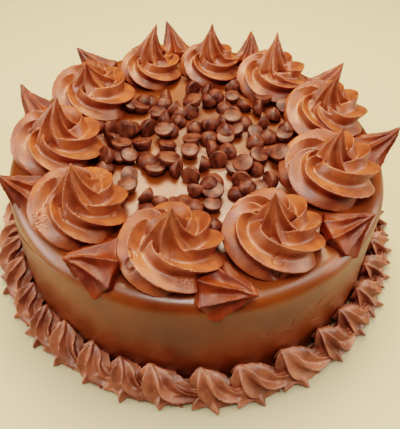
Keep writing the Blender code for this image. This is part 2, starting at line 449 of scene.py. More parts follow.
def join_meshes(parts: list[Mesh]) -> Mesh:
    """Puts several meshes into one.

    Args:
        parts: points and faces of each.

    Returns:
        All points and all faces.
    """
    points = []
    faces: list[Face] = []
    shift = 0
    for some, corners in parts:
        points.append(some)
        faces += [tuple(c + shift for c in face) for face in corners]
        shift += len(some)
    return np.vstack(points), faces


def round_place(distance: float, angle_deg: float, height: float) -> np.ndarray:
    """Returns the position at a distance from the cake's axis, an angle round it and a height."""
    angle = math.radians(angle_deg)
    return np.array([distance * math.cos(angle), distance * math.sin(angle), height])


@dataclass(frozen=True)
class StarTip:
    """A star piping tip: sharp lips with round flutes between them.

    Attributes:
        crests: number of lips.
        depth: how deep the flutes are, as a share of the radius.
        sharpness: exponent of the flute's wave, smaller for sharper lips.
    """

    crests: int
    depth: float
    sharpness: float

    def reach(self, turn: np.ndarray, fill: float = 0.0) -> np.ndarray:
        """Returns the outline's radius share at each angle, with a share of the flutes' depth filled."""
        wave = np.abs(np.sin(self.crests * turn / 2.0))
        return 1.0 - self.depth * (1.0 - fill) * wave**self.sharpness

    def lip(self, turn: np.ndarray) -> np.ndarray:
        """Returns 1 on a lip and 0 in a flute."""
        return (1.0 - np.abs(np.sin(self.crests * turn / 2.0))) ** 3


SWIRL_TIP = StarTip(crests=6, depth=0.48, sharpness=0.85)
PEAK_TIP = StarTip(crests=7, depth=0.46, sharpness=0.80)
STAR_TIP = StarTip(crests=8, depth=0.40, sharpness=0.80)
SHELL_TIP = StarTip(crests=6, depth=0.60, sharpness=0.85)
FOOT_TIP = StarTip(crests=7, depth=0.46, sharpness=0.95)
ROUND_TIP = StarTip(crests=2, depth=0.0, sharpness=1.0)
# Slow swells of a rope: waves round it, speed along it and size
ROPE_SWELLS = ((1, 3.0, 0.018), (2, 7.0, 0.012), (3, 13.0, 0.010))
# Speeds of the tears along its lips
ROPE_TEARS = (31.0, 53.0, 89.0)


@dataclass
class Rope:
    """Icing pressed out of a star tip that moves along a path without turning.

    Attributes:
        tip: the tip's cut.
        path: positions of the rope's middle, in mm.
        radius: the rope's radius at each of them, in mm.
        twist: extra turn of the section at each of them, in radians.
        seed: seed of the small unevenness.
        columns: points round one section.
        ragged: strength of the tears along the lips.
        fill: how far the flutes are filled at each of the positions, or None where they are open.
        blunt: how far the start bulges, as a share of its radius.
        end_mm: how far the end runs out.
    """

    tip: StarTip
    path: np.ndarray
    radius: np.ndarray
    twist: np.ndarray
    seed: int
    columns: int = 128
    ragged: float = 0.006
    fill: np.ndarray | None = None
    blunt: float = 0.15
    end_mm: float = 0.2

    def frames(self) -> tuple[np.ndarray, np.ndarray]:
        """Works out how the tip is turned along the path.

        Returns:
            The path's directions, and the least turn from upright to each of them.
        """
        along = np.gradient(self.path, axis=0)
        along /= np.linalg.norm(along, axis=1)[:, None]
        axis = np.cross(np.tile([0.0, 0.0, 1.0], (len(along), 1)), along)
        cross = np.zeros((len(along), 3, 3))
        cross[:, 0, 1] = -axis[:, 2]
        cross[:, 0, 2] = axis[:, 1]
        cross[:, 1, 0] = axis[:, 2]
        cross[:, 1, 2] = -axis[:, 0]
        cross[:, 2, 0] = -axis[:, 1]
        cross[:, 2, 1] = axis[:, 0]
        level = np.maximum(1.0 + along[:, 2], 0.05)[:, None, None]
        return along, np.eye(3)[None] + cross + (cross @ cross) / level

    def unevenness(self, turn: np.ndarray, rows: np.ndarray) -> np.ndarray:
        """Works out slow swells and ragged lips.

        Args:
            turn: angle of each column.
            rows: place of each section, from 0 to 1.

        Returns:
            A factor near 1 for each section and column.
        """
        draw = np.random.default_rng(self.seed)
        total = np.ones((len(rows), len(turn)))
        for around, along, size in ROPE_SWELLS:
            start = draw.uniform(0.0, 2.0 * np.pi)
            total += size * np.sin(around * turn[None] + along * rows[:, None] * 2.0 + start)
        tear = np.zeros(len(rows))
        for along in ROPE_TEARS:
            tear += np.sin(along * rows * 2.0 + draw.uniform(0.0, 2.0 * np.pi))
        return total + self.ragged * self.tip.lip(turn)[None] * tear[:, None] / 2.0

    def mesh(self) -> Mesh:
        """Sweeps the tip along the path and closes both ends.

        Returns:
            The points in mm and the faces.
        """
        turn = np.linspace(0.0, 2.0 * np.pi, self.columns, endpoint=False)
        along, frames = self.frames()
        uneven = self.unevenness(turn, np.linspace(0.0, 1.0, len(self.path)))
        points = []
        for i, centre in enumerate(self.path):
            fill = 0.0 if self.fill is None else self.fill[i]
            share = self.tip.reach(turn + self.twist[i], fill) * uneven[i] * self.radius[i]
            section = np.stack([np.cos(turn) * share, np.sin(turn) * share, np.zeros(len(turn))], 1)
            points.append(centre + section @ frames[i].T)
        start = self.path[0] - along[0] * self.radius[0] * self.blunt
        points = np.vstack([*points, start, self.path[-1] + along[-1] * self.end_mm])
        return points, tube_faces(len(self.path), self.columns)


class MarkKind(Enum):
    """Kinds of small flaws in the icing."""

    BUBBLE = "bubble"
    PIT = "pit"
    SMEAR = "smear"


# A burst bubble's rim: its place and its width as shares of the radius, and how deep its inside is
BUBBLE_RIM = 0.68
BUBBLE_RIM_WIDTH = 0.16
BUBBLE_INSIDE = 0.25
# Changes of a smear's grain per mm
SMEAR_GRAIN = 0.9


@dataclass(frozen=True)
class Mark:
    """A small flaw of a swirl, pressed into its skin.

    Attributes:
        kind: what it looks like.
        x_mm: its place to the right of the cake's axis.
        y_mm: its place behind that axis.
        radius_mm: its radius.
        depth_mm: its depth.
    """

    kind: MarkKind
    x_mm: float
    y_mm: float
    radius_mm: float
    depth_mm: float

    def sink(self, points: np.ndarray, distance: np.ndarray) -> np.ndarray:
        """Returns how deep each point is pressed in, in mm.

        Args:
            points: positions in mm.
            distance: each one's distance from the mark, as a share of the radius.

        Returns:
            The depths, 0 outside the mark.
        """
        edge = 1.0 - smooth(distance)
        if self.kind is MarkKind.PIT:
            return self.depth_mm * edge
        if self.kind is MarkKind.BUBBLE:
            rim = np.exp(-(((distance - BUBBLE_RIM) / BUBBLE_RIM_WIDTH) ** 2))
            return self.depth_mm * (rim + BUBBLE_INSIDE * edge)
        grain = [noise.noise(Vector(point) * SMEAR_GRAIN) for point in points]
        return self.depth_mm * np.abs(np.array(grain)) * 2.0 * np.sqrt(edge)

    def press(self, obj: Any) -> None:
        """Presses the mark into the upward side of a piece.

        Args:
            obj: the piece.
        """
        count = len(obj.data.vertices) * 3
        flat = np.empty(count)
        facing = np.empty(count)
        obj.data.vertices.foreach_get("co", flat)
        obj.data.vertices.foreach_get("normal", facing)
        points = flat.reshape(-1, 3) / MM
        normals = facing.reshape(-1, 3)
        distance = np.hypot(points[:, 0] - self.x_mm, points[:, 1] - self.y_mm) / self.radius_mm
        near = np.flatnonzero((distance < 1.0) & (normals[:, 2] > 0.05))
        if len(near) == 0:
            LOG.warning("%s: a mark misses it", obj.name)
            return
        points[near] -= normals[near] * self.sink(points[near], distance[near])[:, None]
        obj.data.vertices.foreach_set("co", np.ravel(points * MM))
        obj.data.update()


@dataclass
class PipedSwirl:
    """A rosette: one rope piped clockwise round a ring and to its middle, and a second one drawn up on it.

    Attributes:
        node: the CAD node that it stands for.
        angle_deg: place of the ring's middle round the cake.
        distance_mm: distance of that middle from the cake's axis.
        radius_mm: outer radius of the ring.
        peak_mm: height of the peak above the glaze.
        lean_mm: how far the peak leans outwards and to its left.
        start_deg: where the ring starts.
        turns: turns of the ring before the rope heads for the middle.
        dense_deg: side of the ring where the flutes crowd together.
        cone: radius of the drawn peak's foot, as a share of the ring's radius.
        seed: seed of its unevenness.
        tube: the rope's radius, as a share of the ring's.
        inward: turns that the rope makes on its way to the middle.
        crowd: how much the flutes crowd, in radians.
        sunk: height of the rope's middle at the start, as a share of its radius.
        climb: what each turn adds to that height.
        drawn_in: share of the ring's reach that the way to the middle takes off.
        foot_mm: height at which the peak's rope starts.
        belly_mm: height from which it narrows.
        narrowing: exponent of that narrowing.
        end_mm: radius of the peak's end.
        top_mm: height of the glaze.
        voxel_mm: fineness of the skin.
    """

    node: str
    angle_deg: float
    distance_mm: float
    radius_mm: float
    peak_mm: float
    lean_mm: tuple[float, float]
    start_deg: float
    turns: float
    dense_deg: float
    cone: float
    seed: int
    tube: float = 0.49
    inward: float = 0.34
    crowd: float = 0.45
    sunk: float = 0.46
    climb: float = 0.16
    drawn_in: float = 0.85
    foot_mm: float = 6.0
    belly_mm: float = 14.5
    narrowing: float = 1.22
    end_mm: float = 0.28
    top_mm: float = TOP_MM
    voxel_mm: float = 0.5

    def ring(self) -> Rope:
        """Works out the rope that is piped round the ring and to its middle.

        Returns:
            The rope, in mm about the middle of the swirl's foot.
        """
        draw = np.random.default_rng(self.seed)
        thick = self.radius_mm * self.tube
        reach = self.radius_mm - thick
        t = np.linspace(0.0, 1.0, RING_ROWS)
        u = np.linspace(0.0, 1.0, INWARD_ROWS)[1:]
        start = math.radians(self.start_deg)
        ring_turn = start - 2.0 * np.pi * self.turns * t
        in_turn = ring_turn[-1] - 2.0 * np.pi * self.inward * u
        ring_reach = reach * (1.03 - 0.05 * t)
        ring_z = thick * (self.sunk + self.climb * self.turns * t)
        in_reach = ring_reach[-1] * (1.0 - self.drawn_in * smooth(u))
        in_z = ring_z[-1] + 1.5 * smooth(u)
        path = np.vstack(
            [
                np.stack([ring_reach * np.cos(ring_turn), ring_reach * np.sin(ring_turn), ring_z], 1),
                np.stack([in_reach * np.cos(in_turn), in_reach * np.sin(in_turn), in_z], 1),
            ]
        )
        # The rope starts thin, swells in its first sixth, and thins again on its way to the middle
        ring_thick = thick * (0.62 + 0.38 * smooth(t / 0.16)) * (1.0 - 0.04 * t)
        in_thick = ring_thick[-1] * (1.0 - 0.35 * smooth(u))
        angle = np.concatenate([ring_turn, in_turn])
        crowd = math.radians(self.dense_deg)
        swell = np.sin(angle - crowd) - math.sin(start - crowd)
        twist = self.crowd * swell + 0.05 * (start - angle) + draw.uniform(0.0, 6.0)
        thickness = np.concatenate([ring_thick, in_thick])
        return Rope(SWIRL_TIP, eased_path(path, 12), thickness, twist, self.seed)

    def peak(self) -> Rope:
        """Works out the rope that is dropped into the ring and drawn up.

        Returns:
            The rope, in mm about the middle of the swirl's foot.
        """
        draw = np.random.default_rng(self.seed + 50)
        wide = self.radius_mm * self.cone
        out = math.radians(self.angle_deg)
        ahead, left = self.lean_mm
        lean_x = ahead * math.cos(out) - left * math.sin(out)
        lean_y = ahead * math.sin(out) + left * math.cos(out)
        s = np.linspace(0.0, 1.0, PEAK_ROWS)
        height = self.foot_mm + (self.peak_mm - self.foot_mm) * s
        drawn = np.clip((height - self.belly_mm) / (self.peak_mm - self.belly_mm), 0.0, 1.0)
        low = np.interp(height, [self.foot_mm, 9.5, self.belly_mm], [0.74, 0.93, 1.0])
        bend = drawn**1.6
        path = eased_path(np.stack([lean_x * bend, lean_y * bend, height], 1), 6)
        hollow = 1.0 - 0.06 * np.sin(np.pi * drawn)
        thickness = wide * low * (1.0 - drawn) ** self.narrowing * hollow + self.end_mm
        twist = draw.uniform(0.0, 6.0) - draw.uniform(0.7, 1.1) * (1.0 - s) ** 2
        return Rope(PEAK_TIP, path, thickness, twist, self.seed + 7)

    def build(self, material: Any) -> Any:
        """Makes the swirl.

        Args:
            material: its finish.

        Returns:
            The finished piece.
        """
        points, faces = join_meshes([self.ring().mesh(), self.peak().mesh()])
        points[:, 2] = np.maximum(points[:, 2], -SWIRL_SINK_MM)
        middle = round_place(self.distance_mm, self.angle_deg, self.top_mm)
        obj = piece_from(self.node + "_piped", (points + middle) * MM, faces)
        skin(obj, self.voxel_mm)
        for mark in MARKS.get(self.node, ()):
            mark.press(obj)
        return dress(obj, material, "buttercream", self.node)


@dataclass
class PipedStar:
    """A drawn star of icing that leans out over the shoulder between two swirls.

    Attributes:
        node: the CAD node that it stands for.
        foot_mm: distance of the foot from the cake's axis, its angle in degrees and its height.
        tip_mm: the same of the tip.
        radius_mm: radius at the foot.
        curl_mm: how far the tip's end bends to its left and upwards.
        seed: seed of its unevenness.
        buried: length of the rope under the foot, as a share of the length above it.
        curl_from: share of the length after which the end bends.
        curl_over: share of the length over which it does.
        filled: share of the flutes' depth that is filled at the foot.
        end_mm: radius of the tip's end.
        low_mm: height below which its lowest flutes are squashed against the wall.
        squash: share of the depth below that height that the squashing takes.
        voxel_mm: fineness of the skin.
    """

    node: str
    foot_mm: tuple[float, float, float]
    tip_mm: tuple[float, float, float]
    radius_mm: float
    curl_mm: tuple[float, float]
    seed: int
    buried: float = 0.20
    curl_from: float = 0.66
    curl_over: float = 0.34
    filled: float = 0.55
    end_mm: float = 0.30
    low_mm: float = 60.5
    squash: float = 0.85
    voxel_mm: float = 0.5

    def build(self, material: Any) -> Any:
        """Makes the star.

        Args:
            material: its finish.

        Returns:
            The finished piece.
        """
        draw = np.random.default_rng(self.seed)
        foot = round_place(*self.foot_mm)
        s = np.linspace(0.0, 1.0, STAR_ROWS)
        axis = round_place(*self.tip_mm) - foot
        side = np.cross([0.0, 0.0, 1.0], axis)
        side /= np.linalg.norm(side)
        path = foot - axis * self.buried + np.outer(s, axis * (1.0 + self.buried))
        bend = smooth((s - self.curl_from) / self.curl_over) ** 2
        path += np.outer(self.curl_mm[0] * bend, side)
        path[:, 2] += self.curl_mm[1] * bend
        # The rope swells over its buried fifth, then narrows in a slightly hollow line
        taper = np.clip((s - 0.18) / 0.82, 0.0, 1.0)
        hollow = 1.0 - 0.10 * np.sin(np.pi * taper)
        thickness = self.radius_mm * (1.0 - taper) ** 0.92 * hollow + self.end_mm
        thickness *= 0.80 + 0.20 * smooth(s / 0.22)
        down = math.atan2(axis[1], axis[0])
        start = math.pi / STAR_TIP.crests - down + draw.uniform(-0.1, 0.1)
        twist = np.full(len(s), start) - 0.30 * s
        fill = self.filled * (1.0 - smooth((s - 0.12) / 0.36))
        swept, faces = Rope(STAR_TIP, path, thickness, twist, self.seed, fill=fill).mesh()
        swept[:, 2] -= self.squash * np.minimum(swept[:, 2] - self.low_mm, 0.0)
        obj = piece_from(self.node + "_piped", swept * MM, faces)
        skin(obj, self.voxel_mm)
        return dress(obj, material, "buttercream", self.node)


@dataclass
class CoatedBody:
    """The cake's body under its poured coat.

    Attributes:
        base_radius_mm: radius at the foot.
        shoulder_radius_mm: radius where the shoulder starts.
        height_mm: height of the top.
        round_mm: radius of the shoulder.
        sectors: columns round the body.
        wall_rows: rows up the wall.
        round_rows: rows round the shoulder.
        top_rows: rows over the top.
        middle_mm: radius of the last of those rows, and distance of the first one from the shoulder.
    """

    base_radius_mm: float = 105.0
    shoulder_radius_mm: float = 102.6
    height_mm: float = TOP_MM
    round_mm: float = 7.5
    sectors: int = 400
    wall_rows: int = 28
    round_rows: int = 14
    top_rows: int = 38
    middle_mm: float = 2.5

    def profile(self) -> list[tuple[float, float]]:
        """Works out the body's outline.

        Returns:
            Radius and height of each row from the foot's edge to the top's middle, in mm.
        """
        points = [(self.base_radius_mm, 0.0)]
        shoulder_z = self.height_mm - self.round_mm
        inner = self.shoulder_radius_mm - self.round_mm
        for i in range(1, self.wall_rows):
            share = i / self.wall_rows
            radius = self.base_radius_mm + (self.shoulder_radius_mm - self.base_radius_mm) * share
            points.append((radius, shoulder_z * share))
        for i in range(self.round_rows + 1):
            angle = math.radians(90.0 * i / self.round_rows)
            out = inner + self.round_mm * math.cos(angle)
            points.append((out, shoulder_z + self.round_mm * math.sin(angle)))
        for radius in np.linspace(inner - self.middle_mm, self.middle_mm, self.top_rows):
            points.append((float(radius), self.height_mm))
        return points

    def swell(self, turn: np.ndarray, height: float) -> np.ndarray:
        """Works out the wall's slow unevenness.

        Args:
            turn: angles in radians.
            height: height in mm.

        Returns:
            How far the wall stands out at each angle, in mm.
        """
        rise = height / self.height_mm
        wave = 0.35 * np.sin(3.0 * turn + 1.0 + 2.0 * rise) + 0.22 * np.sin(7.0 * turn + 3.0 * rise)
        wave += 0.16 * np.sin(13.0 * turn + 5.0 * rise + 1.7)
        return wave * smooth(height / 10.0)

    def lift(self, turn: np.ndarray, radius: float, height: float) -> np.ndarray:
        """Works out the top's slow unevenness.

        Args:
            turn: angles in radians.
            radius: distance from the axis in mm.
            height: height in mm.

        Returns:
            How far the surface stands up at each angle, in mm.
        """
        wave = 0.25 * np.sin(2.0 * turn + radius / 17.0) + 0.18 * np.sin(5.0 * turn - radius / 11.0)
        return wave * smooth((height - 50.0) / 16.0) * min(1.0, radius / 30.0)

    def wall(self, turn: float, height: float) -> np.ndarray:
        """Finds a point of the wall or the shoulder.

        Args:
            turn: its angle in radians.
            height: its height in mm.

        Returns:
            Its position in mm.
        """
        over = height - (self.height_mm - self.round_mm)
        if over <= 0.0:
            lean = self.base_radius_mm - self.shoulder_radius_mm
            radius = self.base_radius_mm - lean * height / (self.height_mm - self.round_mm)
        else:
            radius = self.shoulder_radius_mm - self.round_mm + math.sqrt(self.round_mm**2 - over**2)
        radius += float(self.swell(np.array([turn]), height)[0])
        return np.array([radius * math.cos(turn), radius * math.sin(turn), height])

    def build(self, material: Any) -> Any:
        """Makes the body.

        Args:
            material: its finish.

        Returns:
            The finished piece.
        """
        turn = np.linspace(0.0, 2.0 * np.pi, self.sectors, endpoint=False)
        rows = []
        for radius, height in self.profile():
            out = radius + self.swell(turn, height) * min(1.0, radius / 80.0)
            up = height + self.lift(turn, radius, height)
            rows.append(np.stack([out * np.cos(turn), out * np.sin(turn), up], 1))
        points = np.vstack([*rows, [[0.0, 0.0, 0.0], [0.0, 0.0, self.height_mm]]])
        obj = piece_from("coated_body", points * MM, tube_faces(len(rows), self.sectors))
        return dress(obj, material, "ganache", "cake")


@dataclass
class WallFlaws:
    """The thin ridge that the knife left on the coat's left side, and the scratches on its right.

    Attributes:
        body: the body that they lie on.
        lines: for each one its radius in mm and its points, as angles in degrees and heights in mm.
        rows: sections of a line for each of its points.
        columns: points round one section.
    """

    body: CoatedBody
    lines: tuple[tuple[float, Places], ...]
    rows: int = 12
    columns: int = 10

    def tube(self, radius: float, places: Places, seed: int) -> Mesh:
        """Lays one line on the wall, thinner towards both ends.

        Args:
            radius: its radius in mm.
            places: its points.
            seed: seed of its unevenness.

        Returns:
            Its points in mm and its faces.
        """
        known = np.linspace(0.0, 1.0, len(places))
        t = np.linspace(0.0, 1.0, self.rows * len(places))
        turns = np.interp(t, known, [math.radians(angle) for angle, _ in places])
        heights = np.interp(t, known, [height for _, height in places])
        path = np.array([self.body.wall(turn, height) for turn, height in zip(turns, heights)])
        thick = radius * (0.15 + 0.85 * np.sin(np.pi * t) ** 0.5)
        straight = np.zeros(len(t))
        return Rope(ROUND_TIP, eased_path(path, 6), thick, straight, seed, columns=self.columns).mesh()

    def build(self, material: Any) -> Any:
        """Makes the lines as one piece.

        Args:
            material: its finish.

        Returns:
            The finished piece.
        """
        tubes = [self.tube(radius, places, 700 + i) for i, (radius, places) in enumerate(self.lines)]
        points, faces = join_meshes(tubes)
        obj = piece_from("coat_flaws", points * MM, faces)
        return dress(obj, material, "ganache", "cake")


@dataclass(frozen=True)
class Scatter:
    """Geometry Nodes that set a shape on each point of a piece.

    The points carry their own turn and size, and their kind where there are several shapes.

    Attributes:
        name: the tree's name.
        several: whether the shapes come from a collection, or from one object.
    """

    name: str
    several: bool

    def tree(self) -> Any:
        """Builds the node tree.

        Returns:
            The tree.
        """
        tree = bpy.data.node_groups.new(self.name, "GeometryNodeTree")
        source = "Collection" if self.several else "Object"
        sockets = {"Geometry": "Geometry", "Shapes": source, "Shape scale": "Float", "Finish": "Material"}
        for name, kind in sockets.items():
            tree.interface.new_socket(name, in_out="INPUT", socket_type="NodeSocket" + kind)
        tree.interface.new_socket("Geometry", in_out="OUTPUT", socket_type="NodeSocketGeometry")
        start = add_node(tree, "NodeGroupInput").outputs
        end = add_node(tree, "NodeGroupOutput")
        own = {}
        for name, kind in (("turn", "FLOAT_VECTOR"), ("size", "FLOAT_VECTOR"), ("kind", "INT")):
            node = add_node(tree, "GeometryNodeInputNamedAttribute", {"data_type": kind}, {"Name": name})
            own[name] = node.outputs[0]
        scaled = add_node(
            tree,
            "ShaderNodeVectorMath",
            {"operation": "SCALE"},
            {0: own["size"], "Scale": start["Shape scale"]},
        )
        apart = {"Separate Children": True, "Reset Children": True} if self.several else {}
        shapes = add_node(tree, f"GeometryNode{source}Info", inputs={source: start["Shapes"], **apart})
        placed = {
            "Points": start["Geometry"],
            "Instance": shapes.outputs[-1],
            "Rotation": own["turn"],
            "Scale": scaled.outputs[0],
        }
        if self.several:
            placed |= {"Pick Instance": True, "Instance Index": own["kind"]}
        spread = add_node(tree, "GeometryNodeInstanceOnPoints", inputs=placed)
        real = add_node(tree, "GeometryNodeRealizeInstances", inputs={"Geometry": spread.outputs[0]})
        finished = {"Geometry": real.outputs[0], "Material": start["Finish"]}
        painted = add_node(tree, "GeometryNodeSetMaterial", inputs=finished)
        tree.links.new(painted.outputs[0], end.inputs[0])
        return tree

    def apply(self, obj: Any, shapes: Any, material: Any, carried: dict[str, Any]) -> None:
        """Turns a piece of bare points into the shapes that stand on them.

        Args:
            obj: the piece.
            shapes: the object or the collection that the shapes come from.
            material: their finish.
            carried: each point's turn as Euler angles, its size along x, y and z, and its kind.
        """
        for name, values in carried.items():
            kind, key = ("INT", "value") if name == "kind" else ("FLOAT_VECTOR", "vector")
            obj.data.attributes.new(name, kind, "POINT").data.foreach_set(key, np.ravel(values))
        work = obj.modifiers.new(self.name, "NODES")
        work.node_group = self.tree()
        named = {item.name: item.identifier for item in work.node_group.interface.items_tree}
        work[named["Shapes"]] = shapes
        work[named["Shape scale"]] = 1.0
        work[named["Finish"]] = material
        settle(obj)
        for name in carried:
            left = obj.data.attributes.get(name)
            if left:
                obj.data.attributes.remove(left)


class ChipPose(Enum):
    """How a chip has come to lie: the draw up to which it is taken, and its least and greatest tilt."""

    POINT_UP = (0.38, 0.0, 25.0)
    FLAT_UP = (0.70, 150.0, 180.0)
    ON_EDGE = (1.0, 95.0, 125.0)


# A chip's outline from its flat side to its point, as radius and height in mm
CHIP_OUTLINE = (
    (4.85, 0.0), (5.15, 0.12), (5.30, 0.50), (5.26, 1.30), (5.00, 2.50),
    (4.40, 3.70), (3.40, 4.80), (2.20, 5.60), (1.20, 6.05), (0.55, 6.55),
)
# Bare spots of the glaze, as (x, y, radius) in mm
BARE_SPOTS = (
    (5.8, 29.1, 9.0), (-13.2, 44.8, 7.5), (-36.6, 20.1, 7.0), (-21.0, -29.5, 9.0), (-11.5, -30.5, 9.0),
    (23.4, -7.8, 8.0), (23.0, 3.3, 6.5), (32.0, -23.5, 7.0), (-6.6, 9.0, 6.0), (-41.0, -21.0, 6.5),
)


def gap_to(x: float, y: float, circles: Iterable[tuple[float, ...]]) -> float:
    """Returns the distance of a spot from the nearest of some circles, given as x, y and radius."""
    return min((math.hypot(x - a, y - b) - r for a, b, r in circles), default=math.inf)


@dataclass
class ChipField:
    """Chocolate chips inside the ring of swirls.

    The first draw is as loose as the solids' own, and a second one tucks more chips against the swirls
    and on top of others.

    Attributes:
        swirls: the swirls as (x, y, radius) in mm.
        point_mm: height of a chip's point.
        oval: how far a chip is from round, as a share of its radius.
        sides: columns round a chip.
        sizes: least and greatest size of a chip.
        spacing_mm: least distance between two chips of the first draw.
        clearance_mm: distance of those chips from a swirl.
        field_mm: radius of the field.
        count: most chips of the first draw.
        tries: draws before the field counts as full.
        tucked_count: most chips of the second draw.
        tucked_tries: draws for them.
        tucked_gap_mm: distance of their middles from a swirl.
        tucked_spacing_mm: least distance between two of them.
        over_mm: least distance of one from the middle of a chip of the first draw.
        beside_mm: distance up to which it lies on that chip.
        step_mm: how much higher it then lies.
        sink_mm: depth that a chip is pressed into the glaze.
        seed: seed of the layout.
        top_mm: height of the glaze.
    """

    swirls: list[tuple[float, float, float]]
    point_mm: float = 6.90
    oval: float = 0.025
    sides: int = 22
    sizes: tuple[float, float] = (0.86, 1.06)
    spacing_mm: float = 8.8
    clearance_mm: float = 6.4
    field_mm: float = 62.0
    count: int = 100
    tries: int = 30000
    tucked_count: int = 34
    tucked_tries: int = 6000
    tucked_gap_mm: float = 1.0
    tucked_spacing_mm: float = 8.0
    over_mm: float = 4.2
    beside_mm: float = 7.0
    step_mm: float = 2.2
    sink_mm: float = 1.2
    seed: int = 41
    top_mm: float = TOP_MM

    def spot(self, draw: random.Random) -> tuple[float, float]:
        """Draws a spot of the field.

        Args:
            draw: source of the random numbers.

        Returns:
            Its place in mm.
        """
        distance = self.field_mm * math.sqrt(draw.random())
        angle = draw.uniform(0.0, 2.0 * math.pi)
        return distance * math.cos(angle), distance * math.sin(angle)

    def spread(self, draw: random.Random) -> list[tuple[float, float, float]]:
        """Spreads the first draw's chips.

        Args:
            draw: source of the random numbers.

        Returns:
            Middle and height of each, in mm.
        """
        found: list[tuple[float, float, float]] = []
        for _ in range(self.tries):
            if len(found) == self.count:
                break
            x, y = self.spot(draw)
            far = gap_to(x, y, self.swirls) >= self.clearance_mm and gap_to(x, y, found) >= self.spacing_mm
            if far and gap_to(x, y, BARE_SPOTS) >= 0.0:
                found.append((x, y, 0.0))
        return found

    def tucked(self, first: list[tuple[float, float, float]]) -> list[tuple[float, float, float]]:
        """Tucks in the second draw's chips.

        Args:
            first: middles and heights of the first draw's chips.

        Returns:
            Middle and height of each, in mm.
        """
        draw = random.Random(self.seed + 1)
        found: list[tuple[float, float, float]] = []
        for _ in range(self.tucked_tries):
            if len(found) == self.tucked_count:
                break
            x, y = self.spot(draw)
            near = gap_to(x, y, first)
            mine = gap_to(x, y, [(a, b, 0.0) for a, b, _ in found])
            if gap_to(x, y, self.swirls) < self.tucked_gap_mm or gap_to(x, y, BARE_SPOTS) < 0.5:
                continue
            if mine >= self.tucked_spacing_mm and near >= self.over_mm:
                found.append((x, y, 0.0 if near > self.beside_mm else self.step_mm))
        return found

    def shape(self) -> Any:
        """Makes one chip, a turned drop with a flat side and a small point.

        Returns:
            The chip, at the origin.
        """
        turn = np.linspace(0.0, 2.0 * np.pi, self.sides, endpoint=False)
        rows = []
        for radius, height in CHIP_OUTLINE:
            out = radius * (1.0 + self.oval * np.sin(2.0 * turn + 0.4 * height))
            rows.append(np.stack([out * np.cos(turn), out * np.sin(turn), np.full(self.sides, height)], 1))
        points = np.vstack([*rows, [[0.0, 0.0, 0.0], [0.0, 0.0, self.point_mm]]])
        return piece_from("chip_shape", points * MM, tube_faces(len(rows), self.sides))

    def places(self, chip: Any) -> tuple[np.ndarray, dict[str, Any]]:
        """Lays every chip down.

        Args:
            chip: the shape of a chip.

        Returns:
            Each one's position in mm, and its turn and size by name.
        """
        draw = random.Random(self.seed)
        first = self.spread(draw)
        corners = np.array([v.co for v in chip.data.vertices]) / MM
        middle = Vector((0.0, 0.0, 1.9))
        positions, turns, sizes = [], [], []
        for x, y, lift in first + self.tucked(first):
            pick = draw.random()
            _, least, greatest = next(pose.value for pose in ChipPose if pick < pose.value[0])
            tilt = draw.uniform(least, greatest)
            size = draw.uniform(*self.sizes)
            turn = Matrix.Rotation(draw.uniform(0.0, 2.0 * math.pi), 3, "Z")
            turn = turn @ Matrix.Rotation(math.radians(tilt), 3, "Y") @ Matrix.Rotation(0.4, 3, "Z")
            low = float((corners @ np.array(turn).T)[:, 2].min()) * size
            shift = turn @ middle * size
            positions.append((x - shift.x, y - shift.y, self.top_mm - low - self.sink_mm + lift))
            turns.append(tuple(turn.to_euler()))
            sizes.append((size, size, size))
        return np.array(positions), {"turn": turns, "size": sizes}

    def build(self, material: Any) -> Any:
        """Scatters the chips.

        Args:
            material: its finish.

        Returns:
            All of them as one piece.
        """
        chip = self.shape()
        positions, carried = self.places(chip)
        obj = piece_from("chips", positions * MM, [])
        Scatter("scatter_chips", several=False).apply(obj, chip, material, carried)
        bpy.data.objects.remove(chip)
        return dress(obj, material, "ganache", "cake")


def on_table(share: np.ndarray, table: Places) -> np.ndarray:
    """Returns the values of a table of (share of the length, value) at some shares."""
    return np.interp(share, [known for known, _ in table], [value for _, value in table])


